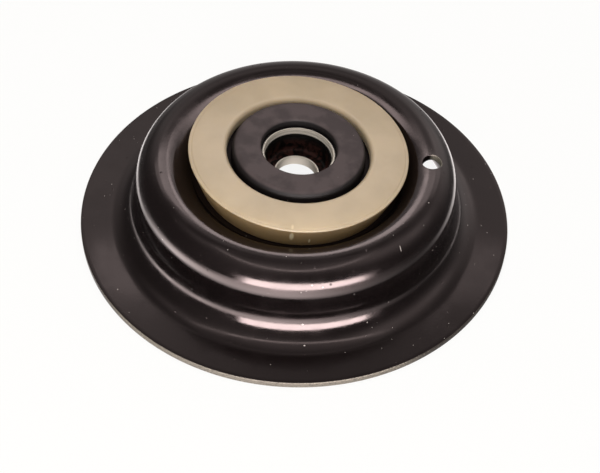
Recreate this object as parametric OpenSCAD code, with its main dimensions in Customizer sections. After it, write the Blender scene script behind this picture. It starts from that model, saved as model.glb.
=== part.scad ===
// Strut mount: spring seat, plain thrust bearing and bonded rubber bush with a cup for the damper rod.
// The sizes run from the rod hole outwards. The flange lies flat on z = 0, and the bearing axis leans to +X.

/* [Rod cup] */
// Diameter of the hole for the damper rod
rod_hole_d = 15; // [10:0.5:18]
// Outer diameter of the cup
cup_d = 26.4; // [24:0.2:30]
// Thickness of the cup's upright wall
cup_wall = 1.6; // [1:0.1:2]
// Thickness of the cup's floor
cup_floor_t = 4; // [3:0.1:6]
// Depth of the cup from its rim to its floor
cup_depth = 9.6; // [7:0.1:12]
// Height of the cup's floor above the floor of the well
cup_floor_up = 0.2; // [-1:0.1:2]
// Chamfer on the rod hole and on the rim
cup_chamfer = 0.3; // [0.1:0.05:0.6]
// Radius inside the cup, between wall and floor
cup_fillet = 1.5; // [0.5:0.1:2]

/* [Rubber bush] */
// Rubber between the cup and the collar
rubber_w = 10.8; // [8:0.1:15]
// Height of the bush's top face above the rim of the cup
head_up = 3.5; // [2.8:0.1:6]
// Rounding of the outer edge of the head
head_r = 2.6; // [1:0.1:4]
// Step from the cup's outer wall to the lip of the rubber
lip_step = 0.5; // [0.2:0.1:1.5]
// Height of the lip
lip_h = 2.5; // [1.5:0.1:2.6]
// Rounding of the lip's upper edge
lip_r = 1.2; // [0.5:0.1:1.4]
// How far the groove under the lip is cut back
groove_in = 0.7; // [0.3:0.1:1.5]
// How far the groove reaches down beside the rim of the cup
groove_down = 0.8; // [0.3:0.1:2]
// Depth of the hollow in the underside
dish_deep = 1.8; // [0.8:0.1:2.4]
// Flat land on each side of the hollow
dish_land = 2; // [1:0.1:3]

/* [Bearing ring] */
// Height of the ring
ring_h = 11.9; // [8:0.1:15]
// Width of the ring's top face, with its edges
ring_w = 13; // [10:0.1:18]
// Slope of the outer wall from upright, narrowing downwards
ring_taper = 18.4; // [5:0.1:24]
// Rounding of the upper outer edge
ring_edge_r = 0.5; // [0.2:0.1:1.5]
// Rounding of the upper inner edge
ring_bore_r = 1.6; // [0.5:0.1:3]
// Radial play between the ring and the collar
ring_play = 0.3; // [0.2:0.05:0.6]
// Play between the ring's foot and the floor of the well
ring_lift = 0.1; // [0.05:0.05:0.3]

/* [Spring seat] */
// Thickness of the sheet
sheet_t = 2.5; // [1.8:0.1:3]
// Height of the crown above the underside of the flange
seat_h = 30.5; // [28:0.1:38]
// Diameter of the flange
flange_d = 160; // [150:0.5:200]
// Lean of the bearing axis from upright
bearing_lean = 2.9; // [0:0.1:4]
// Height of the collar above the floor of the well
collar_h = 7; // [5:0.1:10]
// Radius between the floor of the well and the collar
bend_r = 2; // [1:0.1:3]
// Room between the foot of the ring and the wall of the well
well_room = 1.8; // [1.6:0.1:4]
// Depth of the well below the crown
well_depth = 8.3; // [7.6:0.1:11]
// Slope of the wall of the well
well_slope = 54; // [45:1:60]
// Radius over the mouth of the well
rim_r = 10.6; // [6:0.1:11]
// Radius over the outer side of the crown
crown_r = 8.1; // [6:0.1:16]
// Angle that the crown's arc turns through before the shoulder
crown_turn = 27; // [5:1:35]
// Radius of the shoulder between crown and wall
shoulder_r = 10.9; // [6:0.1:13]
// Radius between wall and flange
root_r = 10.6; // [4:0.1:12]
// Diameter of the small hole in the crown
drain_d = 7; // [4:0.5:8]
// Distance of the small hole outwards from the top of the crown
drain_out = -0.4; // [-2:0.1:2]

/* [Hidden] */

// Straight steps in each arc of a section
arc_steps = 12;
// How far a cut runs past the face that it opens
cut = 1;
// Least flat width of the flange
flange_least = 4;
// Part of the collar's bend that the rubber follows
skirt_turn = 45;
// Directions from an arc's centre, as angles in its section
outward = 0;
upward = 90;
inward = 180;
downward = 270;
$fn = 96;

// Radii from the rod outwards
rod_hole_r = rod_hole_d / 2;
cup_r = cup_d / 2;
cup_in_r = cup_r - cup_wall;
collar_in_r = cup_r + rubber_w;
collar_r = collar_in_r + sheet_t;
ring_in_r = collar_r + ring_play;
ring_r = ring_in_r + ring_w;
ring_foot_r = ring_r - ring_h * tan(ring_taper);
well_floor_r = ring_foot_r + well_room;

// Heights on the bearing axis, from the floor of the well
cup_rim_z = cup_floor_up + cup_depth;
cup_base_z = cup_floor_up - cup_floor_t;
head_z = cup_rim_z + head_up;
lip_z = head_z - lip_h;
groove_z = cup_rim_z - groove_down;
ring_top_z = ring_lift + ring_h;

// Height of the centre of the well's floor
floor_z = seat_h - well_depth;

// Arc centres of the dish's section, as [radius, height]
slope_run = (well_depth - rim_r * (1 - cos(well_slope))) / tan(well_slope);
crest_r = well_floor_r + slope_run + rim_r * sin(well_slope);
rim_c = [crest_r, seat_h - rim_r];
crown_c = [crest_r, seat_h - crown_r];
shoulder_c = crown_c + (crown_r - shoulder_r) * [sin(crown_turn), cos(crown_turn)];
wall_r = shoulder_c.x + shoulder_r;
root_c = [wall_r + root_r, sheet_t + root_r];
flange_r = max(flange_d / 2, root_c.x + flange_least);

// Centre of the bend from the floor of the well into the collar
bend_c = [collar_r + bend_r, bend_r];
// The foot of the ring starts outside that bend
ring_foot_in_r = bend_c.x + ring_play;

// The well is carried on below its slanted floor, so that the floor meets its wall all round
floor_reach = well_floor_r + 2 * sheet_t;
floor_fall = floor_reach * sin(bearing_lean) + cut;

// Points on an arc, from one angle to another
function arc(centre, radius, from, to) = [
    for (i = [0:arc_steps])
        let (angle = from + (to - from) * i / arc_steps)
        centre + radius * [cos(angle), sin(angle)]
];

// Point where the wall of the well, set back into the sheet, comes down to a height
function well_toe(inset, height) =
    let (start = rim_c + (rim_r - inset) * [-sin(well_slope), cos(well_slope)])
    [start.x - (start.y - height) / tan(well_slope), height];

// Face of the dish from the flange to the well: the upper face, or the face one inset below it
function dish_face(inset) = concat(
    arc(root_c, root_r + inset, downward, inward),
    arc(shoulder_c, shoulder_r - inset, outward, upward - crown_turn),
    arc(crown_c, crown_r - inset, upward - crown_turn, upward),
    arc(rim_c, rim_r - inset, upward, upward + well_slope),
    [well_toe(inset, floor_z - inset - floor_fall)],
    [[0, floor_z - inset - floor_fall]]
);

// Places a shape on the bearing axis, with its zero at the floor of the well
module on_bearing_axis() {
    translate([0, 0, floor_z])
        rotate([0, bearing_lean, 0])
            children();
}

// Everything below the upper face of the dish
module dish_top() {
    rotate_extrude()
        polygon(concat([[0, 0], [flange_r, 0], [flange_r, sheet_t]], dish_face(0)));
}

// Everything below the under face of the dish
module dish_hollow() {
    rotate_extrude()
        polygon(concat([[0, -cut], [root_c.x, -cut]], dish_face(sheet_t)));
}

// Slanted floor of the well with its collar, solid below
module floor_top() {
    base_z = -2 * floor_fall - cut;
    on_bearing_axis()
        rotate_extrude()
            polygon(concat(
                [[0, base_z], [floor_reach, base_z], [floor_reach, 0]],
                arc(bend_c, bend_r, downward, inward),
                [[collar_r, collar_h], [0, collar_h]]
            ));
}

// Space below the slanted floor and inside the collar
module floor_hollow() {
    base_z = -floor_z - floor_fall - cut;
    hollow_r = floor_reach + sheet_t;
    on_bearing_axis()
        rotate_extrude()
            polygon(concat(
                [[0, base_z], [hollow_r, base_z], [hollow_r, -sheet_t]],
                arc(bend_c, bend_r + sheet_t, downward, inward),
                [[collar_in_r, collar_h + cut], [0, collar_h + cut]]
            ));
}

module spring_seat() {
    color("#2b2526")
        difference() {
            union() {
                dish_top();
                floor_top();
            }
            dish_hollow();
            floor_hollow();
            translate([crest_r + drain_out, 0, floor_z])
                cylinder(d = drain_d, h = seat_h);
        }
}

module bearing_ring() {
    edge_c = [
        ring_r - ring_edge_r * (1 + sin(ring_taper)) / cos(ring_taper),
        ring_top_z - ring_edge_r
    ];
    bore_c = [ring_in_r + ring_bore_r, ring_top_z - ring_bore_r];
    relief = ring_foot_in_r - ring_in_r;
    color("#c3ac90")
        on_bearing_axis()
            rotate_extrude()
                polygon(concat(
                    [[ring_foot_in_r, ring_lift], [ring_foot_r, ring_lift]],
                    arc(edge_c, ring_edge_r, -ring_taper, upward),
                    arc(bore_c, ring_bore_r, upward, inward),
                    [[ring_in_r, ring_lift + relief]]
                ));
}

module rubber_bush() {
    head_c = [collar_in_r - head_r, head_z - head_r];
    lip_in_r = cup_r + lip_step;
    lip_c = [lip_in_r + lip_r, head_z - lip_r];
    groove_r = lip_in_r + groove_in;
    skirt = arc(bend_c, bend_r + sheet_t, inward + skirt_turn, inward);
    // Hollow in the underside, an arc through its two edges and its depth
    dish_from = cup_r + dish_land;
    dish_to = skirt[0].x - dish_land;
    dish_half = (dish_to - dish_from) / 2;
    dish_r = (dish_half * dish_half + dish_deep * dish_deep) / (2 * dish_deep);
    dish_a = asin(dish_half / dish_r);
    dish_c = [dish_from + dish_half, cup_base_z + dish_deep - dish_r];
    color("#4b4243")
        on_bearing_axis()
            rotate_extrude()
                polygon(concat(
                    [[cup_r, cup_base_z]],
                    arc(dish_c, dish_r, upward + dish_a, upward - dish_a),
                    [[skirt[0].x, cup_base_z]],
                    skirt,
                    arc(head_c, head_r, outward, upward),
                    arc(lip_c, lip_r, upward, inward),
                    [[lip_in_r, lip_z], [groove_r, lip_z], [groove_r, groove_z], [cup_r, groove_z]]
                ));
}

module rod_cup() {
    fillet_c = [cup_in_r - cup_fillet, cup_floor_up + cup_fillet];
    color("#b9b2a6")
        on_bearing_axis()
            rotate_extrude()
                polygon(concat(
                    [[rod_hole_r + cup_chamfer, cup_base_z], [cup_r - cup_chamfer, cup_base_z]],
                    [[cup_r, cup_base_z + cup_chamfer], [cup_r, cup_rim_z - cup_chamfer]],
                    [[cup_r - cup_chamfer, cup_rim_z], [cup_in_r + cup_chamfer, cup_rim_z]],
                    [[cup_in_r, cup_rim_z - cup_chamfer]],
                    arc(fillet_c, cup_fillet, outward, -upward),
                    [[rod_hole_r + cup_chamfer, cup_floor_up], [rod_hole_r, cup_floor_up - cup_chamfer]],
                    [[rod_hole_r, cup_base_z + cup_chamfer]]
                ));
}

spring_seat();
bearing_ring();
rubber_bush();
rod_cup();
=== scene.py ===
import math

import bmesh
import bpy
from mathutils import Matrix, Vector


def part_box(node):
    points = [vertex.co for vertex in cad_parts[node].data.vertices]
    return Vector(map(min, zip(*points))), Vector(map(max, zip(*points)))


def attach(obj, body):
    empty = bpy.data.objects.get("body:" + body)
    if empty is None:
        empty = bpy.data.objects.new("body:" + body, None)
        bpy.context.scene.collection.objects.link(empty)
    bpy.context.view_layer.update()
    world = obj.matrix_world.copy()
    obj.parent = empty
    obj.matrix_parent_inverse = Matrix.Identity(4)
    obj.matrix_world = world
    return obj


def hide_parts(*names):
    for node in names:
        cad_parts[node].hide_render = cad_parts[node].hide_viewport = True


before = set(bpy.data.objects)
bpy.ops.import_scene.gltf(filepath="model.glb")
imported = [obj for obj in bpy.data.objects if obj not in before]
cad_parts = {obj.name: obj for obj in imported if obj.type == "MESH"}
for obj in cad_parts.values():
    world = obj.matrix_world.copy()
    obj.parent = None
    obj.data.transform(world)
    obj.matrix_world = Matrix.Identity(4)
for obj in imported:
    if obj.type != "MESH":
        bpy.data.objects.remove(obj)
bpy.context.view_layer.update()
print("frame loaded:", sorted(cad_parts))

mm = 0.001  # pieces and patterns are given in millimetres, lamps in metres
eased = {"interpolation_type": "SMOOTHSTEP"}  # for a Map Range that fades softly


def hexColour(code):
    parts = [int(code[i:i + 2], 16) / 255 for i in (1, 3, 5)]
    return tuple(c / 12.92 if c <= 0.04045 else ((c + 0.055) / 1.055) ** 2.4 for c in parts) + (1.0,)


def addNode(tree, kind, wires=None, **settings):
    node = tree.nodes.new(kind)
    for key, value in settings.items():
        setattr(node, key, value)
    for socket, value in (wires or {}).items():
        if isinstance(value, bpy.types.NodeSocket):
            tree.links.new(value, node.inputs[socket])
        else:
            node.inputs[socket].default_value = value
    return node


def newMaterial(name):
    material = bpy.data.materials.new(name)
    material.use_nodes = True
    tree = material.node_tree
    return material, tree, tree.nodes["Principled BSDF"]


def addObject(name, data):
    thing = bpy.data.objects.new(name, data)
    bpy.context.collection.objects.link(thing)
    return thing


# A Geometry Nodes tree with named inputs and one output, and the identifiers of its inputs
def newTree(name, given, made):
    tree = bpy.data.node_groups.new(name, "GeometryNodeTree")
    sockets = {}
    for label, kind in given.items():
        sockets[label] = tree.interface.new_socket(name=label, in_out="INPUT", socket_type=kind).identifier
    tree.interface.new_socket(name=made, in_out="OUTPUT", socket_type="NodeSocketGeometry")
    return tree, sockets


def plainMesh(piece):
    graph = bpy.context.evaluated_depsgraph_get()
    mesh = bpy.data.meshes.new_from_object(piece.evaluated_get(graph), depsgraph=graph)
    for i in reversed(range(len(mesh.materials))):
        if mesh.materials[i] is None:
            mesh.materials.pop(index=i)  # an empty slot that a tree leaves
    piece.modifiers.clear()
    piece.data = mesh
    return mesh


# Runs a tree on a piece with the inputs given by name, and leaves a plain mesh
def runTree(piece, tree, sockets, values):
    modifier = piece.modifiers.new(tree.name, "NODES")
    modifier.node_group = tree
    for label, value in values.items():
        modifier[sockets[label]] = value
    return plainMesh(piece)


# Points of a section, as (radius, height)
def arcPoints(centre, radius, start, stop, count):
    angles = [math.radians(start + (stop - start) * i / count) for i in range(count + 1)]
    return [(centre[0] + radius * math.cos(a), centre[1] + radius * math.sin(a)) for a in angles]


def linePoints(start, stop, count):
    return [(start[0] + (stop[0] - start[0]) * i / count, start[1] + (stop[1] - start[1]) * i / count)
            for i in range(1, count)]


def dropRepeats(section, nearest=1e-4):
    kept = []
    for point in section:
        if not kept or math.dist(point[:2], kept[-1][:2]) > nearest:
            kept.append(point)
    if math.dist(kept[0][:2], kept[-1][:2]) < nearest:
        kept.pop()
    return kept


# Bearing axis: the well floor, collar, ring, bush and cup all stand on it
bearingAxis = {"lean": 2.9, "floorHeight": 22.2}


# A section measured from the well's floor, leaning in full; the third value is the share of the lean
def onAxis(points):
    return dropRepeats([(r, z + bearingAxis["floorHeight"], 1.0) for r, z in points])


spin = {"carrier": 50.0, "merge": 1e-4}  # radius of the circle that carries a section, and distance of doubles


# Geometry Nodes tree that turns a closed section about the vertical and leans it onto the bearing axis
def buildSpinTree():
    tree, sockets = newTree("spinSection", {
        "Section": "NodeSocketGeometry", "Steps": "NodeSocketInt", "Lean": "NodeSocketFloat",
        "Floor Height": "NodeSocketFloat", "Finish": "NodeSocketMaterial"}, "Piece")
    given = addNode(tree, "NodeGroupInput")
    outline = addNode(tree, "GeometryNodeMeshToCurve", {"Mesh": given.outputs["Section"]})
    circle = addNode(tree, "GeometryNodeCurvePrimitiveCircle",
                     {"Resolution": given.outputs["Steps"], "Radius": spin["carrier"] * mm})
    upright = addNode(tree, "GeometryNodeSetCurveNormal", {"Curve": circle.outputs["Curve"]}, mode="Z_UP")
    swept = addNode(tree, "GeometryNodeCurveToMesh",
                    {"Curve": upright.outputs[0], "Profile Curve": outline.outputs["Curve"]})
    share = addNode(tree, "GeometryNodeInputNamedAttribute", {"Name": "leanShare"}, data_type="FLOAT")
    angle = addNode(tree, "ShaderNodeMath", {0: given.outputs["Lean"], 1: share.outputs["Attribute"]},
                    operation="MULTIPLY")
    pivot = addNode(tree, "ShaderNodeCombineXYZ", {"Z": given.outputs["Floor Height"]})
    place = addNode(tree, "GeometryNodeInputPosition")
    leaned = addNode(tree, "ShaderNodeVectorRotate",
                     {"Vector": place.outputs[0], "Center": pivot.outputs[0], "Angle": angle.outputs[0]},
                     rotation_type="Y_AXIS")
    moved = addNode(tree, "GeometryNodeSetPosition",
                    {"Geometry": swept.outputs["Mesh"], "Position": leaned.outputs["Vector"]})
    smooth = addNode(tree, "GeometryNodeSetShadeSmooth", {"Geometry": moved.outputs["Geometry"]})
    real = addNode(tree, "GeometryNodeRealizeInstances", {"Geometry": smooth.outputs["Geometry"]})
    painted = addNode(tree, "GeometryNodeSetMaterial",
                      {"Geometry": real.outputs["Geometry"], "Material": given.outputs["Finish"]})
    addNode(tree, "NodeGroupOutput", {"Piece": painted.outputs["Geometry"]})
    return tree, sockets


spinTree, spinSockets = buildSpinTree()


# Turns a closed list of (radius, height, share of the lean) into a piece
def turnPiece(name, section, steps, material):
    mesh = bpy.data.meshes.new(name)
    points = [((r - spin["carrier"]) * mm, -z * mm, 0.0) for r, z, share in section]  # x runs outwards, y down
    mesh.from_pydata(points, [(i, (i + 1) % len(points)) for i in range(len(points))], [])
    share = mesh.attributes.new("leanShare", "FLOAT", "POINT")
    share.data.foreach_set("value", [p[2] for p in section])
    piece = addObject(name, mesh)
    mesh = runTree(piece, spinTree, spinSockets, {
        "Steps": steps, "Lean": math.radians(bearingAxis["lean"]),
        "Floor Height": bearingAxis["floorHeight"] * mm, "Finish": material})
    work = bmesh.new()
    work.from_mesh(mesh)
    bmesh.ops.remove_doubles(work, verts=work.verts, dist=spin["merge"] * mm)
    bmesh.ops.recalc_face_normals(work, faces=work.faces)
    work.to_mesh(mesh)
    work.free()
    mesh.attributes.remove(mesh.attributes["leanShare"])
    return piece


def softenShading(piece, angle):
    piece.data.shade_smooth()
    piece.data.set_sharp_from_angle(angle=math.radians(angle))


# Object coordinates in millimetres, upright or on the bearing axis
def placeInMm(tree, leaning=False):
    place = addNode(tree, "ShaderNodeTexCoord")
    lean = math.radians(bearingAxis["lean"]) if leaning else 0.0
    high = bearingAxis["floorHeight"] * mm if leaning else 0.0
    return addNode(tree, "ShaderNodeMapping",
                   {"Vector": place.outputs["Object"], "Location": (0, 0, high), "Rotation": (0, lean, 0),
                    "Scale": (mm, mm, mm)}, vector_type="TEXTURE").outputs[0]


# Distance from the axis of the coordinates, or from an upright line beside it
def radiusFrom(tree, place, beside=(0, 0, 0)):
    moved = addNode(tree, "ShaderNodeVectorMath", {0: place, 1: beside}, operation="SUBTRACT")
    level = addNode(tree, "ShaderNodeVectorMath", {0: moved.outputs[0], 1: (1, 1, 0)}, operation="MULTIPLY")
    return addNode(tree, "ShaderNodeVectorMath", {0: level.outputs[0]}, operation="LENGTH").outputs["Value"]


# Share of a place inside a small long spot: middle, half sizes and turns in the piece's own coordinates
def spotShare(tree, place, spot):
    local = addNode(tree, "ShaderNodeMapping",
                    {"Vector": place, "Location": spot["at"], "Scale": spot["half"],
                     "Rotation": [math.radians(a) for a in spot.get("turn", (0, 0, 0))]}, vector_type="TEXTURE")
    away = addNode(tree, "ShaderNodeVectorMath", {0: local.outputs[0]}, operation="LENGTH")
    return addNode(tree, "ShaderNodeMapRange", {0: away.outputs["Value"], 1: 1.0, 2: 0.5}, **eased).outputs[0]


# Share of a place inside round specks: each cell has one, and few are near the largest size
def speckShare(tree, place, look, largest):
    cells = addNode(tree, "ShaderNodeTexVoronoi", {"Vector": place, "Scale": 1 / look["speckCell"]})
    chance = addNode(tree, "ShaderNodeSeparateColor", {0: cells.outputs["Color"]})
    size = addNode(tree, "ShaderNodeMath", {0: chance.outputs[0], 1: look["speckRarity"]}, operation="POWER")
    size = addNode(tree, "ShaderNodeMath", {0: size.outputs[0], 1: largest}, operation="MULTIPLY")
    inside = addNode(tree, "ShaderNodeMath", {0: size.outputs[0], 1: cells.outputs["Distance"]},
                     operation="SUBTRACT")
    return addNode(tree, "ShaderNodeMapRange", {0: inside.outputs[0], 2: look["speckEdge"]}, **eased).outputs[0]


# Black electrocoat on steel: dipped and baked, so it mirrors the room deep and even over a faint orange peel,
# with pale specks here and there, partly dust and partly painted glints; the sheared edge and the wall of the small
# hole show grey steel
coat = {
    "colour": "#110d0d", "ior": 1.6, "tint": "#ffecea", "rough": (0.13, 0.21), "smear": 8.0, "smearFrom": (0.35, 0.7),
    "peel": 0.9, "peelHeight": 0.011, "wave": 15.0, "waveHeight": 0.012,
    "speckCell": 1.8, "speckSize": 0.22, "speckRarity": 4.0, "speckEdge": 0.02, "speck": "#cfc8c2",
    "cluster": 24.0, "clusterFrom": (0.35, 0.6), "clusterLeast": 0.03,
    "shine": 0.5, "inner": 29.0, "innerFade": 1.0, "innerShine": 0.08,  # inside the collar it is dull
    "bare": "#7b776b", "bareRough": 0.5, "bareMetal": 0.12, "chipFrom": (0.3, 0.5), "chipLeast": 0.55,
    "edgeBand": (0.3, 0.12), "edgeWear": (-0.17, -0.98, 0.0), "edgeFrom": (0.64, 0.84), "edgeLeast": 0.2,
    "holeBand": (0.3, 0.1), "holeWear": (0.85, 0.5, 0.0), "holeFrom": (0.8, 2.6),
    # pale spots: a scratch, and painted glints on nibs
    "scratchesAndGlints": (
        {"at": (36.66, -40.45, 28.35), "half": (1.35, 0.16, 0.5), "turn": (0, 37, -69)},
        {"at": (48.9, -32.5, 19.2), "half": (0.5, 0.3, 0.3)}, {"at": (50.4, -30.1, 18.6), "half": (0.3, 0.3, 0.25)},
        {"at": (4.6, -59.6, 8.5), "half": (0.35, 0.3, 0.3)}, {"at": (5.6, -64.7, 3.5), "half": (0.4, 0.3, 0.3)},
    ),
}


def makeElectrocoat():
    material, tree, shader = newMaterial("blackElectrocoat")
    place = placeInMm(tree)
    wave, peel, smear, cluster = [
        addNode(tree, "ShaderNodeTexNoise",
                {"Vector": place, "Scale": 1 / coat[name], "Detail": detail}).outputs["Fac"]
        for name, detail in (("wave", 1.0), ("peel", 2.0), ("smear", 3.0), ("cluster", 1.0))]
    rise = addNode(tree, "ShaderNodeBump", {"Height": wave, "Distance": coat["waveHeight"] * mm})
    rise = addNode(tree, "ShaderNodeBump", {"Height": peel, "Distance": coat["peelHeight"] * mm,
                                            "Normal": rise.outputs["Normal"]})

    # Pale dust specks and scratches, partly painted glints where nibs in the paint catch the light
    low, high = coat["clusterFrom"]
    largest = addNode(tree, "ShaderNodeMapRange", {0: cluster, 1: low, 2: high, 3: coat["clusterLeast"],
                                                   4: coat["speckSize"] / coat["speckCell"]}, **eased).outputs[0]
    specks = speckShare(tree, place, coat, largest)
    for spot in coat["scratchesAndGlints"]:
        specks = addNode(tree, "ShaderNodeMath", {0: specks, 1: spotShare(tree, place, spot)},
                         operation="MAXIMUM").outputs[0]

    # Bare steel at the sheared edge, chipped, and most on the side that it was slid on
    radius = radiusFrom(tree, place)
    start, stop = [seat["flangeRadius"] - inset for inset in coat["edgeBand"]]
    edge = addNode(tree, "ShaderNodeMapRange", {0: radius, 1: start, 2: stop}, **eased)
    low, high = coat["chipFrom"]
    chips = addNode(tree, "ShaderNodeMapRange", {0: peel, 1: low, 2: high, 3: coat["chipLeast"]}, **eased)
    edge = addNode(tree, "ShaderNodeMath", {0: edge.outputs[0], 1: chips.outputs[0]}, operation="MULTIPLY")
    along = addNode(tree, "ShaderNodeVectorMath", {0: place, 1: coat["edgeWear"]}, operation="DOT_PRODUCT")
    low, high = [share * seat["flangeRadius"] for share in coat["edgeFrom"]]
    worn = addNode(tree, "ShaderNodeMapRange", {0: along.outputs["Value"], 1: low, 2: high, 3: coat["edgeLeast"]},
                   **eased)
    edge = addNode(tree, "ShaderNodeMath", {0: edge.outputs[0], 1: worn.outputs[0]}, operation="MULTIPLY")

    # Bare steel on one side of the small hole
    middle = (seat["crestRadius"] + seat["holeOut"], 0, 0)
    start, stop = [seat["holeRadius"] + out for out in coat["holeBand"]]
    hole = addNode(tree, "ShaderNodeMapRange", {0: radiusFrom(tree, place, middle), 1: start, 2: stop}, **eased)
    beside = addNode(tree, "ShaderNodeVectorMath", {0: place, 1: middle}, operation="SUBTRACT")
    beside = addNode(tree, "ShaderNodeVectorMath", {0: beside.outputs[0], 1: coat["holeWear"]},
                     operation="DOT_PRODUCT")
    low, high = coat["holeFrom"]
    side = addNode(tree, "ShaderNodeMapRange", {0: beside.outputs["Value"], 1: low, 2: high}, **eased)
    hole = addNode(tree, "ShaderNodeMath", {0: hole.outputs[0], 1: side.outputs[0]}, operation="MULTIPLY")
    bare = addNode(tree, "ShaderNodeMath", {0: edge.outputs[0], 1: hole.outputs[0]}, operation="MAXIMUM").outputs[0]

    low, high = coat["smearFrom"]
    least, most = coat["rough"]
    dull = addNode(tree, "ShaderNodeMapRange", {0: smear, 1: low, 2: high, 3: least, 4: most}, **eased)
    inner = addNode(tree, "ShaderNodeMapRange", {0: radius, 1: coat["inner"], 2: coat["inner"] - coat["innerFade"]},
                    **eased).outputs[0]
    duller = addNode(tree, "ShaderNodeMath", {0: bare, 1: inner}, operation="MAXIMUM")
    dull = addNode(tree, "ShaderNodeMix", {0: duller.outputs[0], 2: dull.outputs[0], 3: coat["bareRough"]})
    shine = addNode(tree, "ShaderNodeMapRange", {0: inner, 3: coat["shine"], 4: coat["innerShine"]}, **eased)
    metal = addNode(tree, "ShaderNodeMath", {0: bare, 1: coat["bareMetal"]}, operation="MULTIPLY")
    colour = addNode(tree, "ShaderNodeMix", {0: specks, 6: hexColour(coat["colour"]), 7: hexColour(coat["speck"])},
                     data_type="RGBA")
    colour = addNode(tree, "ShaderNodeMix", {0: bare, 6: colour.outputs[2], 7: hexColour(coat["bare"])},
                     data_type="RGBA")
    for socket, value in (("Base Color", colour.outputs[2]), ("Roughness", dull.outputs[0]),
                          ("Metallic", metal.outputs[0]), ("Specular IOR Level", shine.outputs[0]),
                          ("Normal", rise.outputs["Normal"])):
        tree.links.new(value, shader.inputs[socket])
    shader.inputs["IOR"].default_value = coat["ior"]
    shader.inputs["Specular Tint"].default_value = hexColour(coat["tint"])
    return material


# Natural nylon, injection moulded: satin tan with faint mottling that lets a little light through; its outer wall in
# the well is painted a deep olive as painted shade; two pale flow marks and a dark spot at the bore; its grain is
# drawn coarse, to show
nylonLook = {
    "colour": "#aa9a80", "pale": "#b4a388", "wall": "#947c57", "mark": "#e6d8b4", "spot": "#5a3526",
    "mottle": 14.0, "mottleFrom": (0.3, 0.7), "grain": 0.6, "grainHeight": 0.006, "rough": (0.37, 0.47),
    "glow": 0.35, "depth": 3.0, "through": (1.0, 0.75, 0.4), "markShare": 0.8,
    "shadedWallDown": (0.8, 1.4), "shadedWallOut": (4.0, 6.0),
    "marks": (
        {"at": (-0.9, -37.9, 8.0), "half": (1.0, 2.0, 5.0)}, {"at": (5.4, -36.9, 4.0), "half": (0.4, 2.0, 2.2)},
    ),
    "spots": ({"at": (26.7, 2.8, 7.0), "half": (0.9, 0.9, 2.6)},),
}


def makeNylon():
    material, tree, shader = newMaterial("naturalNylon")
    place = placeInMm(tree, leaning=True)
    height = addNode(tree, "ShaderNodeSeparateXYZ", {0: place}).outputs["Z"]
    mottle, grain = [
        addNode(tree, "ShaderNodeTexNoise",
                {"Vector": place, "Scale": 1 / nylonLook[name], "Detail": detail}).outputs["Fac"]
        for name, detail in (("mottle", 4.0), ("grain", 2.0))]
    rise = addNode(tree, "ShaderNodeBump", {"Height": grain, "Distance": nylonLook["grainHeight"] * mm})
    low, high = nylonLook["mottleFrom"]
    pale = addNode(tree, "ShaderNodeMapRange", {0: mottle, 1: low, 2: high}, **eased)
    colour = addNode(tree, "ShaderNodeMix", {0: pale.outputs[0], 6: hexColour(nylonLook["colour"]),
                                             7: hexColour(nylonLook["pale"])}, data_type="RGBA")
    # Painted shade: the outer wall below the top edge is painted a darker olive, for the little light that reaches it
    # in the well
    start, stop = [ring["boreRadius"] + out for out in nylonLook["shadedWallOut"]]
    outside = addNode(tree, "ShaderNodeMapRange", {0: radiusFrom(tree, place), 1: start, 2: stop}, **eased)
    start, stop = [ring["lift"] + ring["height"] - down for down in nylonLook["shadedWallDown"]]
    below = addNode(tree, "ShaderNodeMapRange", {0: height, 1: start, 2: stop}, **eased)
    deep = addNode(tree, "ShaderNodeMath", {0: below.outputs[0], 1: outside.outputs[0]}, operation="MULTIPLY")
    colour = addNode(tree, "ShaderNodeMix", {0: deep.outputs[0], 6: colour.outputs[2],
                                             7: hexColour(nylonLook["wall"])}, data_type="RGBA")
    for spot in nylonLook["marks"]:
        share = addNode(tree, "ShaderNodeMath", {0: spotShare(tree, place, spot), 1: nylonLook["markShare"]},
                        operation="MULTIPLY")
        colour = addNode(tree, "ShaderNodeMix", {0: share.outputs[0], 6: colour.outputs[2],
                                                 7: hexColour(nylonLook["mark"])}, data_type="RGBA")
    for spot in nylonLook["spots"]:
        colour = addNode(tree, "ShaderNodeMix", {0: spotShare(tree, place, spot), 6: colour.outputs[2],
                                                 7: hexColour(nylonLook["spot"])}, data_type="RGBA")
    least, most = nylonLook["rough"]
    dull = addNode(tree, "ShaderNodeMapRange", {0: mottle, 1: low, 2: high, 3: least, 4: most}, **eased)
    for socket, value in (("Base Color", colour.outputs[2]), ("Roughness", dull.outputs[0]),
                          ("Normal", rise.outputs["Normal"])):
        tree.links.new(value, shader.inputs[socket])
    shader.inputs["Subsurface Weight"].default_value = nylonLook["glow"]
    shader.inputs["Subsurface Radius"].default_value = nylonLook["through"]
    shader.inputs["Subsurface Scale"].default_value = nylonLook["depth"] * mm
    return material


# Moulded black rubber: greyer and duller towards the top in cloudy patches, with fine specks; the sides stay black
# with a soft gloss; its grain is drawn coarse, to show
rubberLook = {
    "topGrey": "#4a4141", "dark": "#151213", "speck": "#9a9090", "cloud": 8.0, "cloudFrom": (0.36, 0.64),
    "grain": 0.45, "grainHeight": 0.012, "speckCell": 2.8, "speckSize": 0.22, "speckRarity": 6.0, "speckEdge": 0.02,
    "rough": (0.56, 0.66), "shine": 0.2, "greyDown": (1.2, 0.3), "greyShare": (0.62, 1.1),
}


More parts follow.
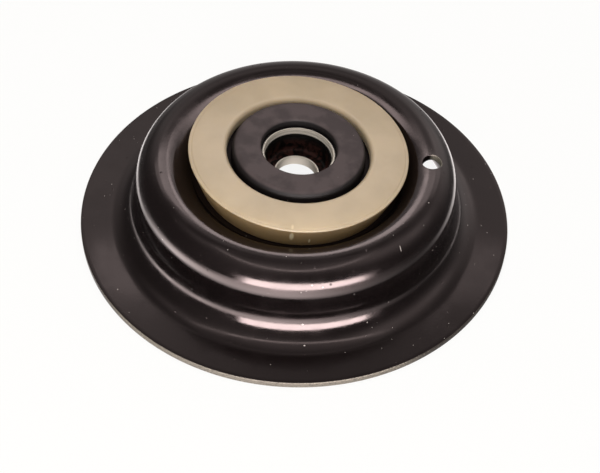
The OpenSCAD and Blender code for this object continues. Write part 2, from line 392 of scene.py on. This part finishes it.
def makeRubber():
    material, tree, shader = newMaterial("mouldedRubber")
    place = placeInMm(tree, leaning=True)
    height = addNode(tree, "ShaderNodeSeparateXYZ", {0: place}).outputs["Z"]
    cloud, grain = [
        addNode(tree, "ShaderNodeTexNoise",
                {"Vector": place, "Scale": 1 / rubberLook[name], "Detail": detail}).outputs["Fac"]
        for name, detail in (("cloud", 4.0), ("grain", 2.0))]
    rise = addNode(tree, "ShaderNodeBump", {"Height": grain, "Distance": rubberLook["grainHeight"] * mm})
    # Greyer towards the top, in cloudy patches
    start, stop = [bush["top"] - down for down in rubberLook["greyDown"]]
    worn = addNode(tree, "ShaderNodeMapRange", {0: height, 1: start, 2: stop}, **eased).outputs[0]
    low, high = rubberLook["cloudFrom"]
    least, most = rubberLook["greyShare"]
    patch = addNode(tree, "ShaderNodeMapRange", {0: cloud, 1: low, 2: high, 3: least, 4: most}, **eased)
    share = addNode(tree, "ShaderNodeMath", {0: worn, 1: patch.outputs[0]}, operation="MULTIPLY", use_clamp=True)
    specks = speckShare(tree, place, rubberLook, rubberLook["speckSize"] / rubberLook["speckCell"])
    colour = addNode(tree, "ShaderNodeMix", {0: share.outputs[0], 6: hexColour(rubberLook["dark"]),
                                             7: hexColour(rubberLook["topGrey"])}, data_type="RGBA")
    colour = addNode(tree, "ShaderNodeMix", {0: specks, 6: colour.outputs[2], 7: hexColour(rubberLook["speck"])},
                     data_type="RGBA")
    least, most = rubberLook["rough"]
    dull = addNode(tree, "ShaderNodeMapRange", {0: worn, 3: least, 4: most}, **eased)
    for socket, value in (("Base Color", colour.outputs[2]), ("Roughness", dull.outputs[0]),
                          ("Normal", rise.outputs["Normal"])):
        tree.links.new(value, shader.inputs[socket])
    shader.inputs["Specular IOR Level"].default_value = rubberLook["shine"]
    return material


# Turned steel: bright with turning marks at the rim and round the hole, near-black and glossy inside the cup with a
# red-brown stain; the marks are drawn coarser than a lathe leaves them, to show
steelLook = {
    "bore": "#e2dccf", "boreOut": (1.0, 0.5), "bright": "#ece6da", "worn": "#8f887c",
    "lines": 0.3, "linesFrom": (0.4, 0.6), "lineHeight": 0.008, "rough": 0.42, "shine": 0.5, "metal": (0.7, 0.15),
    "insideDark": "#0a0908", "insideOut": (0.35, 0.75), "insideFade": 0.2, "insideRough": 0.3, "insideShine": 0.06, "insideHeight": 0.16,
    "stain": "#2e1c19", "patch": 3.2, "patchFrom": (0.42, 0.6), "patchBend": 1.2, "stainFade": 3.0,
}


def makeTurnedSteel():
    material, tree, shader = newMaterial("turnedSteel")
    place = placeInMm(tree, leaning=True)
    height = addNode(tree, "ShaderNodeSeparateXYZ", {0: place}).outputs["Z"]
    radius = radiusFrom(tree, place)
    turned = addNode(tree, "ShaderNodeCombineXYZ", {"X": radius, "Z": height})
    lines = addNode(tree, "ShaderNodeTexNoise",
                    {"Vector": turned.outputs[0], "Scale": 1 / steelLook["lines"], "Detail": 1.0}).outputs["Fac"]
    patches = addNode(tree, "ShaderNodeTexNoise",
                      {"Vector": place, "Scale": 1 / steelLook["patch"], "Detail": 5.0,
                       "Distortion": steelLook["patchBend"]}).outputs["Fac"]

    # Near-black below the turned mouth, stopping round the hole
    mouth, fade = cup["rim"] - cup["boreDepth"], steelLook["insideFade"]
    below = addNode(tree, "ShaderNodeMapRange", {0: height, 1: mouth + fade, 2: mouth - fade}, **eased)
    start, stop = [cup["holeRadius"] + out for out in steelLook["insideOut"]]
    beyond = addNode(tree, "ShaderNodeMapRange", {0: radius, 1: start, 2: stop}, **eased).outputs[0]
    darkInside = addNode(tree, "ShaderNodeMath", {0: below.outputs[0], 1: beyond}, operation="MULTIPLY").outputs[0]
    low, high = steelLook["patchFrom"]
    patchy = addNode(tree, "ShaderNodeMapRange", {0: patches, 1: low, 2: high}, **eased)
    lower = addNode(tree, "ShaderNodeMapRange", {0: height, 1: cup["rim"] - steelLook["stainFade"],
                                                 2: cup["floor"] + steelLook["stainFade"]}, **eased)
    stained = addNode(tree, "ShaderNodeMath", {0: patchy.outputs[0], 1: lower.outputs[0]}, operation="MULTIPLY")

    low, high = steelLook["linesFrom"]
    polish = addNode(tree, "ShaderNodeMapRange", {0: lines, 1: low, 2: high}, **eased)
    colour = addNode(tree, "ShaderNodeMix", {0: polish.outputs[0], 6: hexColour(steelLook["worn"]),
                                             7: hexColour(steelLook["bright"])}, data_type="RGBA")
    start, stop = [cup["holeRadius"] + out for out in steelLook["boreOut"]]
    nearBore = addNode(tree, "ShaderNodeMapRange", {0: radius, 1: start, 2: stop}, **eased)
    colour = addNode(tree, "ShaderNodeMix", {0: nearBore.outputs[0], 6: colour.outputs[2],
                                             7: hexColour(steelLook["bore"])}, data_type="RGBA")
    insideColour = addNode(tree, "ShaderNodeMix", {0: stained.outputs[0], 6: hexColour(steelLook["insideDark"]),
                                           7: hexColour(steelLook["stain"])}, data_type="RGBA")
    colour = addNode(tree, "ShaderNodeMix", {0: darkInside, 6: colour.outputs[2], 7: insideColour.outputs[2]}, data_type="RGBA")
    least, most = steelLook["metal"]
    metal = addNode(tree, "ShaderNodeMapRange", {0: beyond, 3: least, 4: most}, **eased)
    dull = addNode(tree, "ShaderNodeMapRange", {0: darkInside, 3: steelLook["rough"], 4: steelLook["insideRough"]}, **eased)
    shine = addNode(tree, "ShaderNodeMapRange", {0: darkInside, 3: steelLook["shine"], 4: steelLook["insideShine"]}, **eased)
    insideBumps = addNode(tree, "ShaderNodeMath", {0: patches, 1: darkInside}, operation="MULTIPLY")
    rise = addNode(tree, "ShaderNodeBump", {"Height": lines, "Distance": steelLook["lineHeight"] * mm})
    rise = addNode(tree, "ShaderNodeBump", {"Height": insideBumps.outputs[0], "Distance": steelLook["insideHeight"] * mm,
                                            "Normal": rise.outputs["Normal"]})
    for socket, value in (("Base Color", colour.outputs[2]), ("Metallic", metal.outputs[0]),
                          ("Specular IOR Level", shine.outputs[0]), ("Roughness", dull.outputs[0]),
                          ("Normal", rise.outputs["Normal"])):
        tree.links.new(value, shader.inputs[socket])
    return material


# Spring seat: one pressing, drawn as its upper face and the same face one sheet below
seat = {
    "sheet": 2.5, "height": 30.5, "flangeRadius": 80.0, "edgeRound": 0.35,
    "crestRadius": 49.07, "crownRadius": 8.1, "crownTurn": 27.0,
    "shoulderRadius": 10.9, "rootRadius": 10.6, "rimRadius": 10.6,
    "wellSlope": 54.0, "wellFloorRadius": 37.64, "toeRadius": 2.5, "mouthRadius": 44.0,
    "collarRadius": 26.5, "collarHeight": 7.0, "bendRadius": 2.0, "collarRound": 0.4,
    "holeRadius": 3.5, "holeOut": -0.4, "holeRound": 0.35, "punchDeep": 8.0, "punchHigh": 0.4, "punchSteps": 64,
    "steps": 288, "sharp": 38,
}


def makeSeat(finish):
    s, tall, deep = seat["sheet"], seat["height"], bearingAxis["floorHeight"]
    slope = seat["wellSlope"]
    rimCentre = (seat["crestRadius"], tall - seat["rimRadius"])
    crownCentre = (seat["crestRadius"], tall - seat["crownRadius"])
    turn = math.radians(seat["crownTurn"])
    reach = seat["crownRadius"] - seat["shoulderRadius"]
    shoulderCentre = (crownCentre[0] + reach * math.sin(turn), crownCentre[1] + reach * math.cos(turn))
    wallRadius = shoulderCentre[0] + seat["shoulderRadius"]
    rootCentre = (wallRadius + seat["rootRadius"], s + seat["rootRadius"])
    toeStart = seat["wellFloorRadius"] - seat["toeRadius"] * math.tan(math.radians(slope / 2))
    toeCentre = (toeStart, deep + seat["toeRadius"])
    bendCentre = (seat["collarRadius"] + seat["bendRadius"], deep + seat["bendRadius"])
    e, c = seat["edgeRound"], seat["collarRound"]
    outer, collarTop = seat["flangeRadius"], deep + seat["collarHeight"]
    collarIn = seat["collarRadius"] - s

    def face(inset, fine):
        top = arcPoints(rootCentre, seat["rootRadius"] + inset, 270, 180, 2 * fine)
        top += linePoints((wallRadius - inset, rootCentre[1]), (wallRadius - inset, shoulderCentre[1]), 4)
        top += arcPoints(shoulderCentre, seat["shoulderRadius"] - inset, 0, 90 - seat["crownTurn"], 2 * fine)
        top += arcPoints(crownCentre, seat["crownRadius"] - inset, 90 - seat["crownTurn"], 90, fine)
        top += arcPoints(rimCentre, seat["rimRadius"] - inset, 90, 90 + slope, 2 * fine)
        toe = arcPoints(toeCentre, seat["toeRadius"] + inset, 270 + slope, 270, fine)
        top += linePoints(top[-1], toe[0], 6) + toe
        bend = arcPoints(bendCentre, seat["bendRadius"] + inset, 270, 180, fine)
        return top + linePoints(toe[-1], bend[0], 6) + bend

    upper = linePoints((outer - e, s), (rootCentre[0], s), 8) + face(0, 16)
    lip = arcPoints((seat["collarRadius"] - c, collarTop - c), c, 0, 90, 4)
    lip += arcPoints((collarIn + c, collarTop - c), c, 90, 180, 4)
    under = list(reversed(face(s, 8))) + linePoints((rootCentre[0], 0), (outer - e, 0), 8)
    edge = arcPoints((outer - e, e), e, -90, 0, 4) + arcPoints((outer - e, s - e), e, 0, 90, 4)

    # The well leans in full up to its toe, and the lean dies away at its mouth
    def leanShare(radius):
        t = min(max((radius - toeStart) / (seat["mouthRadius"] - toeStart), 0.0), 1.0)
        return 1.0 - t * t * (3 - 2 * t)

    section = [(r, z, leanShare(r)) for r, z in dropRepeats(upper + lip + under + edge)]
    piece = turnPiece("springSeat", section, seat["steps"], finish)
    punchHole(piece, finish)
    softenShading(piece, seat["sharp"])
    return piece


# The small hole is punched straight down through the crown, with a rolled-over upper edge
def punchHole(piece, finish):
    middle = seat["crestRadius"] + seat["holeOut"]
    fall = seat["holeOut"] / seat["rimRadius"]
    surface = seat["height"] - seat["holeOut"] * fall / 2
    size, roll, count = seat["holeRadius"], seat["holeRound"], seat["punchSteps"]
    levels = [(size, -seat["punchDeep"]), (size, -roll)]
    levels += [(size + roll * (1 - math.cos(a)), roll * (math.sin(a) - 1)) for a in (0.5, 1.0, 1.4)]
    levels += [(size + 2 * roll, seat["punchHigh"])]
    punch = bmesh.new()
    rows = []
    for radius, height in levels:
        row = []
        for i in range(count):
            a = 2 * math.pi * i / count
            x, y = radius * math.cos(a), radius * math.sin(a)
            row.append(punch.verts.new(((middle + x) * mm, y * mm, (surface + height - fall * x) * mm)))
        rows.append(row)
    for below, above in zip(rows, rows[1:]):
        for i in range(count):
            punch.faces.new((below[i], below[(i + 1) % count], above[(i + 1) % count], above[i]))
    punch.faces.new(list(reversed(rows[0])))
    punch.faces.new(rows[-1])
    bmesh.ops.recalc_face_normals(punch, faces=punch.faces)
    mesh = bpy.data.meshes.new("punch")
    punch.to_mesh(mesh)
    punch.free()
    mesh.materials.append(finish)
    cutter = addObject("punch", mesh)
    hole = piece.modifiers.new("hole", "BOOLEAN")
    hole.operation, hole.object, hole.solver = "DIFFERENCE", cutter, "EXACT"
    plainMesh(piece)
    bpy.data.objects.remove(cutter)


# Bearing ring: tapered outside, with a low step and crown at its top edge and a lip over the top of the collar
ring = {
    "boreRadius": 26.8, "outerRadius": 39.8, "taper": 18.4, "height": 11.9, "lift": 0.1, "edgeRound": 0.5,
    "crownFrom": 34.5, "crownDrop": 0.24, "crownSteps": 8, "stepRadius": 38.4, "stepDrop": 0.16,
    "lipRadius": 25.9, "lipHeight": 4.0, "lipSlope": 0.9, "boreRound": 1.8, "footBore": 28.8, "footRound": 0.4,
    "steps": 384, "sharp": 40,
}


def makeRing(finish):
    low, top = ring["lift"], ring["lift"] + ring["height"]
    taper = ring["taper"]
    lean = math.radians(taper)
    footOuter = ring["outerRadius"] - ring["height"] * math.tan(lean)
    e, b, f = ring["edgeRound"], ring["boreRound"], ring["footRound"]
    land = top - ring["crownDrop"] - ring["stepDrop"]
    edgeCentre = (ring["outerRadius"] - e * (1 + math.sin(lean)) / math.cos(lean), land - e)
    footCentre = (footOuter + f * math.tan(lean) - f / math.cos(lean), low + f)
    section = arcPoints(footCentre, f, -90, -taper, 5)
    wall = arcPoints(edgeCentre, e, -taper, 90, 8)
    section += linePoints(section[-1], wall[0], 16) + wall
    section += [(ring["stepRadius"] + ring["stepDrop"], land)]
    span, count = ring["stepRadius"] - ring["crownFrom"], ring["crownSteps"]
    section += [(ring["stepRadius"] - span * i / count, top - ring["crownDrop"] * (1 - i / count) ** 2)
                for i in range(count + 1)]
    bore = arcPoints((ring["lipRadius"] + b, top - b), b, 90, 180, 12)
    section += linePoints(section[-1], bore[0], 6) + bore
    lipLow = top - ring["lipHeight"]
    section += [(ring["lipRadius"], lipLow), (ring["boreRadius"], lipLow - ring["lipSlope"])]
    relief = ring["footBore"] - ring["boreRadius"]
    section += [(ring["boreRadius"], low + relief), (ring["footBore"], low)]
    piece = turnPiece("bearingRing", onAxis(section), ring["steps"], finish)
    softenShading(piece, ring["sharp"])
    return piece


# Rubber bush: bonded between the collar and the cup, with a groove under its lip and a hollow below
bush = {
    "outerRadius": 24.0, "innerRadius": 13.2, "top": 13.3, "headRound": 2.6,
    "lipRadius": 13.7, "lipRound": 1.2, "lipHeight": 2.5, "grooveRadius": 14.4, "grooveBottom": 9.0,
    "base": -3.8, "hollowDeep": 1.8, "land": 2.0, "steps": 192, "sharp": 40,
}


def makeBush(finish):
    top, base, h = bush["top"], bush["base"], bush["headRound"]
    section = arcPoints((bush["outerRadius"] - h, top - h), h, 0, 90, 14)
    lip = arcPoints((bush["lipRadius"] + bush["lipRound"], top - bush["lipRound"]), bush["lipRound"], 90, 180, 8)
    section += linePoints(section[-1], lip[0], 6) + lip
    lipLow = top - bush["lipHeight"]
    section += [(bush["lipRadius"], lipLow), (bush["grooveRadius"], lipLow),
                (bush["grooveRadius"], bush["grooveBottom"]), (bush["innerRadius"], bush["grooveBottom"]),
                (bush["innerRadius"], base)]
    bendRadius = seat["bendRadius"] + seat["sheet"]  # it follows the inside of the collar's bend
    skirt = arcPoints((seat["collarRadius"] + seat["bendRadius"], seat["bendRadius"]), bendRadius, 225, 180, 8)
    hollowFrom, hollowTo = bush["innerRadius"] + bush["land"], skirt[0][0] - bush["land"]
    half, deep = (hollowTo - hollowFrom) / 2, bush["hollowDeep"]
    hollowRadius = (half * half + deep * deep) / (2 * deep)
    spread = math.degrees(math.asin(half / hollowRadius))
    section += arcPoints((hollowFrom + half, base + deep - hollowRadius), hollowRadius, 90 + spread, 90 - spread, 14)
    section += [(skirt[0][0], base)] + skirt
    piece = turnPiece("rubberBush", onAxis(section), bush["steps"], finish)
    softenShading(piece, bush["sharp"])
    return piece


# Rod cup: its mouth is turned out a little, and its thick floor has the rod hole
cup = {
    "outerRadius": 13.2, "wall": 1.6, "rim": 9.8, "floor": 0.2, "floorThick": 4.0, "holeRadius": 7.5,
    "fillet": 1.5, "chamfer": 0.3, "boreStep": 0.7, "boreDepth": 2.2, "steps": 192, "sharp": 30,
}


def makeCup(finish):
    out, inner, rim, bed = cup["outerRadius"], cup["outerRadius"] - cup["wall"], cup["rim"], cup["floor"]
    base, c, hole = bed - cup["floorThick"], cup["chamfer"], cup["holeRadius"]
    wide, step = inner + cup["boreStep"], rim - cup["boreDepth"]
    section = [(hole + c, base), (out - c, base), (out, base + c), (out, rim - c), (out - c, rim),
               (wide + c, rim), (wide, rim - c), (wide, step), (inner, step - cup["boreStep"])]
    section += arcPoints((inner - cup["fillet"], bed + cup["fillet"]), cup["fillet"], 0, -90, 8)
    section += [(hole + c, bed), (hole, bed - c), (hole, base + c)]
    piece = turnPiece("rodCup", onAxis(section), cup["steps"], finish)
    softenShading(piece, cup["sharp"])
    return piece


# Dust grains under the coat stand up as small rounded nibs, scattered over the outside of the dish
nibs = {"perSquareMetre": 5200, "seed": 7, "small": 0.14, "large": 0.45, "flat": 0.6, "from": 46.0, "facing": 0.05}


def makeNibs(dish, finish):
    tree, sockets = newTree("scatterNibs", {
        "Dish": "NodeSocketGeometry", "Density": "NodeSocketFloat", "Seed": "NodeSocketInt",
        "Small": "NodeSocketFloat", "Large": "NodeSocketFloat", "From Radius": "NodeSocketFloat",
        "Finish": "NodeSocketMaterial"}, "Nibs")
    given = addNode(tree, "NodeGroupInput")
    place = addNode(tree, "GeometryNodeInputPosition")
    outside = addNode(tree, "ShaderNodeMath",
                      {0: radiusFrom(tree, place.outputs[0]), 1: given.outputs["From Radius"]},
                      operation="GREATER_THAN")
    normal = addNode(tree, "ShaderNodeSeparateXYZ", {0: addNode(tree, "GeometryNodeInputNormal").outputs[0]})
    upper = addNode(tree, "ShaderNodeMath", {0: normal.outputs["Z"], 1: nibs["facing"]}, operation="GREATER_THAN")
    chosen = addNode(tree, "ShaderNodeMath", {0: outside.outputs[0], 1: upper.outputs[0]}, operation="MULTIPLY")
    spread = addNode(tree, "GeometryNodeDistributePointsOnFaces",
                     {"Mesh": given.outputs["Dish"], "Selection": chosen.outputs[0],
                      "Density": given.outputs["Density"], "Seed": given.outputs["Seed"]})
    grain = addNode(tree, "GeometryNodeMeshIcoSphere", {"Radius": 1.0, "Subdivisions": 2})
    smooth = addNode(tree, "GeometryNodeSetShadeSmooth", {"Geometry": grain.outputs["Mesh"]})
    low = addNode(tree, "GeometryNodeTransform",
                  {"Geometry": smooth.outputs["Geometry"], "Scale": (1, 1, nibs["flat"])})
    size = addNode(tree, "FunctionNodeRandomValue",
                   {2: given.outputs["Small"], 3: given.outputs["Large"], "Seed": given.outputs["Seed"]},
                   data_type="FLOAT")
    placed = addNode(tree, "GeometryNodeInstanceOnPoints",
                     {"Points": spread.outputs["Points"], "Instance": low.outputs["Geometry"],
                      "Rotation": spread.outputs["Rotation"], "Scale": size.outputs[1]})
    real = addNode(tree, "GeometryNodeRealizeInstances", {"Geometry": placed.outputs["Instances"]})
    painted = addNode(tree, "GeometryNodeSetMaterial",
                      {"Geometry": real.outputs["Geometry"], "Material": given.outputs["Finish"]})
    addNode(tree, "NodeGroupOutput", {"Nibs": painted.outputs["Geometry"]})
    piece = addObject("paintNibs", dish.data.copy())
    runTree(piece, tree, sockets, {
        "Density": nibs["perSquareMetre"], "Seed": nibs["seed"], "Small": nibs["small"] * mm,
        "Large": nibs["large"] * mm, "From Radius": nibs["from"] * mm, "Finish": finish})
    return piece


electrocoat = makeElectrocoat()
nylon = makeNylon()
rubber = makeRubber()
turnedSteel = makeTurnedSteel()
print("materials made")

pieces = {
    "spring_seat": (makeSeat(electrocoat), "seat", "black_coat"),
    "bearing_ring": (makeRing(nylon), "bearing", "nylon"),
    "rubber_bush": (makeBush(rubber), "seat", "rubber"),
    "rod_cup": (makeCup(turnedSteel), "seat", "bare_steel"),
}
for node, (piece, body, slot) in pieces.items():
    low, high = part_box(node)
    drawn = [v.co for v in piece.data.vertices]
    print(node, "CAD", [round(v / mm, 2) for v in (*low, *high)], "drawn",
          [round(f(p[i] for p in drawn) / mm, 2) for f in (min, max) for i in range(3)],
          len(piece.data.polygons), "faces")
    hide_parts(node)
    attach(piece, body)

paintNibs = makeNibs(pieces["spring_seat"][0], electrocoat)
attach(paintNibs, "seat")
print("nibs:", len(paintNibs.data.polygons), "faces")

# Camera: where the photograph was taken from, for a 600 x 473 picture
view = {
    "distance": 473.0, "elevation": 48.24, "roll": 2.67, "right": -1.94, "up": 8.89, "lens": 75.0, "sensor": 36.0,
    "clip": (0.01, 50.0),
}


def makeCamera():
    e, r = math.radians(view["elevation"]), math.radians(view["roll"])
    back = Vector((0, -math.cos(e), math.sin(e)))
    level, rise = Vector((1, 0, 0)), Vector((0, math.sin(e), math.cos(e)))
    right = math.cos(r) * level + math.sin(r) * rise
    up = math.cos(r) * rise - math.sin(r) * level
    camera = addObject("camera", bpy.data.cameras.new("camera"))
    camera.data.lens, camera.data.sensor_width = view["lens"], view["sensor"]
    camera.data.clip_start, camera.data.clip_end = view["clip"]
    place = (back * view["distance"] - right * view["right"] - up * view["up"]) * mm
    camera.matrix_world = Matrix.Translation(place) @ Matrix((right, up, back)).transposed().to_4x4()
    bpy.context.scene.camera = camera


makeCamera()
print("camera made")

# Light: panels by where they stand, width and height, glow (1 is white paper) and where they face, in metres;
# the first group is only mirrored and the second only lights
panels = {
    "gloss": {
        "frontPanel": ((0.2, -0.9, 0.165), (1.36, 0.37), 15.0, (0, 1, 0)),
        "rimPanel": ((0.003, 0.04, 0.083), (0.078, 0.024), 2.6, (0, -1, -0.6)),
        "leftWing": ((-0.052, 0.04, 0.086), (0.03, 0.026), 1.5, (0, -1, -0.6)),
        "leftTip": ((-0.079, 0.04, 0.092), (0.022, 0.026), 0.6, (0, -1, -0.6)),
        "rightWing": ((0.056, 0.04, 0.084), (0.026, 0.026), 1.0, (0, -1, -0.6)),
        "rightTip": ((0.081, 0.04, 0.08), (0.024, 0.026), 0.4, (0, -1, -0.6)),
    },
    "diffuse": {
        "topFill": ((0.0, 0.0, 1.5), (2.0, 2.0), 0.56, (0, 0, -1)),
        "nearFill": ((-0.05, -0.42, 0.42), (0.4, 0.4), 2.45, (0.08, 0.7, -0.7)),
        "ringFront": ((0.001, -0.0425, 0.04), (0.032, 0.006), 1.1, (0, 1, -0.6)),
        "ringLeft": ((-0.0255, -0.0345, 0.0413), (0.026, 0.006), 0.8, (0.6, 0.8, -0.6)),
        "ringRight": ((0.0275, -0.0345, 0.0386), (0.026, 0.006), 0.6, (-0.6, 0.8, -0.6)),
        "backFill": ((0.0, 0.42, 0.42), (0.4, 0.4), 0.6, (0, -0.7, -0.7)),
        "frontFill": ((0.0, -1.4, 0.35), (2.4, 0.7), 0.5, (0, 1, 0)),
        "leftFill": ((-1.4, -0.2, 0.35), (2.0, 0.7), 0.9, (1, 0, 0)),
        "rightFill": ((1.4, -0.2, 0.35), (2.0, 0.7), 0.4, (-1, 0, 0)),
    },
}
panelTints = {"gloss": "#fff6f5", "diffuse": "#fffaf6"}


def makePanels():
    for seenIn, group in panels.items():
        for name, (at, size, glow, facing) in group.items():
            light = bpy.data.lights.new(name, "AREA")
            light.shape = "RECTANGLE"
            light.size, light.size_y = size
            light.energy = 4 * light.size * light.size_y * glow  # an area lamp glows power / (4 area)
            light.color = hexColour(panelTints[seenIn])[:3]
            lamp = addObject(name, light)
            lamp.location = at
            lamp.rotation_euler = (-Vector(facing)).to_track_quat("Z", "Y").to_euler()
            lamp.visible_camera = False
            lamp.visible_diffuse = seenIn == "diffuse"
            lamp.visible_glossy = seenIn == "gloss"


makePanels()


# How much of a glow reaches a direction: 1 toward its middle, a half at its half width
def glowShare(tree, way, toward, half):
    sharp = math.log(2) / (1 - math.cos(math.radians(half)))
    along = addNode(tree, "ShaderNodeVectorMath", {0: way, 1: toward}, operation="DOT_PRODUCT")
    fade = addNode(tree, "ShaderNodeMath", {0: along.outputs["Value"], 1: sharp, 2: -sharp},
                   operation="MULTIPLY_ADD")
    return addNode(tree, "ShaderNodeMath", {0: fade.outputs[0]}, operation="EXPONENT").outputs[0]


# Floor: white paper; where the paint mirrors it, parts of it glow as painted reflections, given by azimuth (0 behind,
# 90 right), half width, glow and the distances in mm between which a part comes in and between which it goes
floor = {
    "colour": "#f2f1ef", "rough": 0.7, "half": 4000.0, "level": -0.1,
    "white": "#fffffe", "whiteShare": 0.9, "whiteFrom": (150, 600), "mirrored": 0.05, "tint": "#fff8f6",
    "glows": {
        "front": (188, 30, 5.6, (68, 105), (2000, 4000)), "frontLeft": (-122, 18, 6.0, (86, 104), (100, 280)),
        "leftNear": (-72, 28, 2.5, (40, 80), (92, 114)), "rightNear": (67, 22, 2.6, (40, 80), (94, 122)),
        "back": (5, 36, 0.5, (40, 80), (2000, 4000)), "underHole": (180, 170, 2.2, (-2, -1), (12, 16)),
    },
}


def makeFloor():
    material, tree, shader = newMaterial("paleFloor")
    shader.inputs["Base Color"].default_value = hexColour(floor["colour"])
    shader.inputs["Roughness"].default_value = floor["rough"]
    path = addNode(tree, "ShaderNodeLightPath")
    place = placeInMm(tree)
    away = radiusFrom(tree, place)
    low, high = floor["whiteFrom"]
    whiter = addNode(tree, "ShaderNodeMapRange", {0: away, 1: low, 2: high, 3: floor["whiteShare"]}, **eased)
    share = addNode(tree, "ShaderNodeMath", {0: path.outputs["Is Camera Ray"], 1: whiter.outputs[0]},
                    operation="MULTIPLY")
    white = addNode(tree, "ShaderNodeEmission", {"Color": hexColour(floor["white"]), "Strength": 1.0})
    seen = addNode(tree, "ShaderNodeMixShader", {0: share.outputs[0], 1: shader.outputs[0], 2: white.outputs[0]})
    way = addNode(tree, "ShaderNodeVectorMath", {0: place}, operation="NORMALIZE").outputs[0]
    total = floor["mirrored"]
    for azimuth, half, glow, comes, goes in floor["glows"].values():
        a = math.radians(azimuth)
        near = addNode(tree, "ShaderNodeMapRange", {0: away, 1: comes[0], 2: comes[1]}, **eased)
        far = addNode(tree, "ShaderNodeMapRange", {0: away, 1: goes[0], 2: goes[1], 3: 1.0, 4: 0.0}, **eased)
        reach = addNode(tree, "ShaderNodeMath", {0: near.outputs[0], 1: far.outputs[0]}, operation="MULTIPLY")
        lit = addNode(tree, "ShaderNodeMath", {0: glowShare(tree, way, (math.sin(a), math.cos(a), 0), half),
                                               1: reach.outputs[0]}, operation="MULTIPLY")
        total = addNode(tree, "ShaderNodeMath", {0: lit.outputs[0], 1: glow, 2: total},
                        operation="MULTIPLY_ADD").outputs[0]
    # Glossy rays see only a glow here: painted reflections of a lit floor
    dim = addNode(tree, "ShaderNodeEmission", {"Color": hexColour(floor["tint"]), "Strength": total})
    mixed = addNode(tree, "ShaderNodeMixShader",
                    {0: path.outputs["Is Glossy Ray"], 1: seen.outputs[0], 2: dim.outputs[0]})
    tree.links.new(mixed.outputs[0], tree.nodes["Material Output"].inputs["Surface"])
    mesh = bpy.data.meshes.new("floor")
    half, level = floor["half"] * mm, floor["level"] * mm
    corners = [(-half, -half, level), (half, -half, level), (half, half, level), (-half, half, level)]
    mesh.from_pydata(corners, [], [(0, 1, 2, 3)])
    mesh.materials.append(material)
    addObject("floor", mesh)


# Room: soft glows toward an azimuth (0 behind, 90 right) and an elevation, with half width and glow, and a thin
# overhead ring of light that is brightest in front
room = {
    "base": 0.07, "tint": "#fff8f6",
    "ringHeight": 0.928, "ringWidth": 0.012, "ringGlow": 1.5, "ringFront": 6.6, "ringBack": 0.25,
    "glows": {
        "backRight": (36, 20, 19, 0.8), "rightHigh": (100, 60, 16, 0.65), "frontLeftHigh": (-150, 70, 16, 0.4),
        "rimFar": (25, 34, 7, 0.6), "behind": (14, 45, 7, 0.31), "backLeft": (-29, 30, 14, 0.35),
        "backHigh": (-14, 47, 9, 0.56), "backLow": (-6, 9, 15, 0.4), "rightMiddle": (77, 40, 9, 0.4),
        "rightLow": (84, 35, 14, 0.22), "leftHigh": (-80, 60, 9, 0.3), "frontLeft": (-145, 35, 25, 0.15),
        "overhead": (0, 90, 20, 0.15),
    },
}


def makeWorld():
    world = bpy.data.worlds.new("studio")
    bpy.context.scene.world = world
    world.use_nodes = True
    tree = world.node_tree
    tree.nodes.clear()
    way = addNode(tree, "ShaderNodeTexCoord").outputs["Generated"]
    parts = addNode(tree, "ShaderNodeSeparateXYZ", {0: way})
    off = addNode(tree, "ShaderNodeMath", {0: parts.outputs["Z"], 1: room["ringHeight"]}, operation="SUBTRACT")
    off = addNode(tree, "ShaderNodeMath", {0: off.outputs[0], 1: room["ringWidth"]}, operation="DIVIDE")
    off = addNode(tree, "ShaderNodeMath", {0: off.outputs[0], 1: off.outputs[0]}, operation="MULTIPLY")
    off = addNode(tree, "ShaderNodeMath", {0: off.outputs[0], 1: -1.0}, operation="MULTIPLY")
    band = addNode(tree, "ShaderNodeMath", {0: off.outputs[0]}, operation="EXPONENT")
    ahead = addNode(tree, "ShaderNodeMath", {0: parts.outputs["Y"], 1: -room["ringFront"], 2: room["ringGlow"]},
                    operation="MULTIPLY_ADD")
    ahead = addNode(tree, "ShaderNodeMath", {0: ahead.outputs[0], 1: room["ringBack"]}, operation="MAXIMUM")
    total = addNode(tree, "ShaderNodeMath", {0: band.outputs[0], 1: ahead.outputs[0], 2: room["base"]},
                    operation="MULTIPLY_ADD")
    for azimuth, elevation, half, glow in room["glows"].values():
        a, e = math.radians(azimuth), math.radians(elevation)
        toward = (math.cos(e) * math.sin(a), math.cos(e) * math.cos(a), math.sin(e))
        total = addNode(tree, "ShaderNodeMath", {0: glowShare(tree, way, toward, half), 1: glow,
                                                 2: total.outputs[0]}, operation="MULTIPLY_ADD")
    glows = addNode(tree, "ShaderNodeBackground", {"Color": hexColour(room["tint"]), "Strength": total.outputs[0]})
    white = addNode(tree, "ShaderNodeBackground", {"Color": (1, 1, 1, 1), "Strength": 1.0})
    path = addNode(tree, "ShaderNodeLightPath")
    mixed = addNode(tree, "ShaderNodeMixShader",
                    {0: path.outputs["Is Camera Ray"], 1: glows.outputs[0], 2: white.outputs[0]})
    addNode(tree, "ShaderNodeOutputWorld", {"Surface": mixed.outputs[0]})


makeFloor()
makeWorld()
bpy.context.scene.view_settings.view_transform = "Standard"
print("light, floor and room made")
